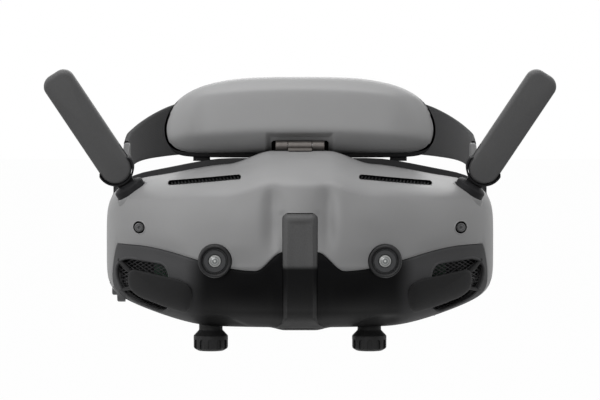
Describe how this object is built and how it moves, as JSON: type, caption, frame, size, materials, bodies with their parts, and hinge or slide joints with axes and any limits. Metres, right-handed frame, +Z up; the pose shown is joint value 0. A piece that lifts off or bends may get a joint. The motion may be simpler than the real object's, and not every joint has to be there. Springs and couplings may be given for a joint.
{
  "type": "fpv goggles",
  "caption": "Head-worn video goggles with folding antennas, front cameras, sliding eyepieces with focus knobs, a tilting forehead support and a fabric headband.",
  "frame": {"origin": "middle of the face seat: mid-plane, eye line, and the rear-most plane of the face foam", "axes": "+X to the wearer's left, +Y from the goggles towards the head, +Z up"},
  "size_m": [0.2056, 0.2501, 0.1145],
  "materials": {
    "grey_shell": "fine satin",
    "dark_shell": "satin to gloss",
    "black_plastic": "matte",
    "knob_plastic": "satin",
    "antenna_plastic": "fine grain",
    "tab_plastic": "matte",
    "foam": "knitted cover over foam",
    "webbing": "woven",
    "optical_glass": "coated",
    "display_glass": "gloss",
    "steel": "satin",
    "hinge_metal": "satin",
    "heat_metal": "satin",
    "circuit_board": "solder mask",
    "cell_wrap": "film wrap"
  },
  "bodies": {
    "visor": {"front_shell": "grey_shell", "lower_shell": "dark_shell", "centre_spine": "dark_shell", "mask_frame": "black_plastic", "face_foam": "foam", "eye_plate": "black_plastic", "vent_grilles": "black_plastic", "intake_meshes": "black_plastic", "intake_panel_left": "dark_shell", "intake_panel_right": "dark_shell", "camera_bezels": "black_plastic", "camera_modules": "black_plastic", "camera_glasses": "optical_glass", "front_screws": "steel", "guide_rods": "steel", "inner_frame": "black_plastic", "main_board": "circuit_board", "heat_sink": "heat_metal", "fan_housing": "black_plastic", "antenna_base_left": "black_plastic", "antenna_base_right": "black_plastic", "hinge_bracket": "hinge_metal", "hinge_pin": "steel", "usb_socket": "steel", "card_socket": "steel", "face_sensor": "black_plastic"},
    "fan": {"fan_rotor": "black_plastic"},
    "eyepiece_left": {"carriage_left": "black_plastic", "display_left": "display_glass"},
    "eyepiece_right": {"carriage_right": "black_plastic", "display_right": "display_glass"},
    "focus_barrel_left": {"barrel_left": "black_plastic", "eye_lens_left": "optical_glass"},
    "focus_barrel_right": {"barrel_right": "black_plastic", "eye_lens_right": "optical_glass"},
    "knob_left": {"focus_knob_left": "knob_plastic"},
    "knob_right": {"focus_knob_right": "knob_plastic"},
    "antenna_left": {"antenna_blade_left": "antenna_plastic", "antenna_board_left": "circuit_board"},
    "antenna_right": {"antenna_blade_right": "antenna_plastic", "antenna_board_right": "circuit_board"},
    "forehead_support": {"pad_front_shell": "grey_shell", "pad_rear_shell": "black_plastic", "forehead_foam": "foam", "battery_cells": "cell_wrap", "battery_board": "circuit_board"},
    "power_key": {"power_button": "knob_plastic"},
    "headband": {"strap_tab_left": "tab_plastic", "strap_tab_right": "tab_plastic", "strap": "webbing", "strap_buckle": "black_plastic"},
    "five_way_key": {"five_way_button": "knob_plastic"},
    "back_key": {"back_button": "knob_plastic"},
    "link_key": {"link_button": "knob_plastic"}
  },
  "joints": [
    {"name": "antenna_left_fold", "type": "hinge", "parent": "visor", "child": "antenna_left", "pos_m": [0.0745, -0.058, 0.0328], "axis": [0, -0.9781, -0.2079], "range_deg": [0, 105]},
    {"name": "antenna_right_fold", "type": "hinge", "parent": "visor", "child": "antenna_right", "pos_m": [-0.0745, -0.058, 0.0328], "axis": [0, 0.9781, 0.2079], "range_deg": [0, 105]},
    {"name": "forehead_tilt", "type": "hinge", "parent": "visor", "child": "forehead_support", "pos_m": [0, -0.049, 0.0414], "axis": [1, 0, 0], "range_deg": [0, 20]},
    {"name": "headband_tilt", "type": "hinge", "parent": "visor", "child": "headband", "pos_m": [0, -0.0205, 0.0325], "axis": [1, 0, 0], "range_deg": [0, 30]},
    {"name": "eye_slide_left", "type": "slide", "parent": "visor", "child": "eyepiece_left", "axis": [1, 0, 0], "range_m": [0, 0.0078]},
    {"name": "eye_slide_right", "type": "slide", "parent": "visor", "child": "eyepiece_right", "axis": [1, 0, 0], "range_m": [0, 0.0078]},
    {"name": "focus_turn_left", "type": "hinge", "parent": "eyepiece_left", "child": "knob_left", "pos_m": [0.0282, -0.0515, -0.035], "axis": [0, 0, 1], "range_deg": [-150, 150]},
    {"name": "focus_turn_right", "type": "hinge", "parent": "eyepiece_right", "child": "knob_right", "pos_m": [-0.0363, -0.0515, -0.035], "axis": [0, 0, 1], "range_deg": [-150, 150]},
    {"name": "focus_slide_left", "type": "slide", "parent": "eyepiece_left", "child": "focus_barrel_left", "axis": [0, 1, 0], "range_m": [-0.002, 0.002]},
    {"name": "focus_slide_right", "type": "slide", "parent": "eyepiece_right", "child": "focus_barrel_right", "axis": [0, 1, 0], "range_m": [-0.002, 0.002]},
    {"name": "fan_spin", "type": "hinge", "parent": "visor", "child": "fan", "pos_m": [0, -0.08, 0], "axis": [0, 1, 0], "continuous": true},
    {"name": "five_way_press", "type": "slide", "parent": "visor", "child": "five_way_key", "axis": [1, 0, 0], "range_m": [0, 0.0008], "stiffness_N_per_m": 300},
    {"name": "back_press", "type": "slide", "parent": "visor", "child": "back_key", "axis": [1, 0, 0], "range_m": [0, 0.0008], "stiffness_N_per_m": 300},
    {"name": "link_press", "type": "slide", "parent": "visor", "child": "link_key", "axis": [0, 0, 1], "range_m": [0, 0.0006], "stiffness_N_per_m": 300},
    {"name": "power_press", "type": "slide", "parent": "forehead_support", "child": "power_key", "axis": [0, 0, -1], "range_m": [0, 0.0006], "stiffness_N_per_m": 300}
  ],
  "couplings": [
    {"joint": "focus_turn_left", "follows": "focus_slide_left", "rad_per_m": 1308},
    {"joint": "focus_turn_right", "follows": "focus_slide_right", "rad_per_m": 1308}
  ]
}
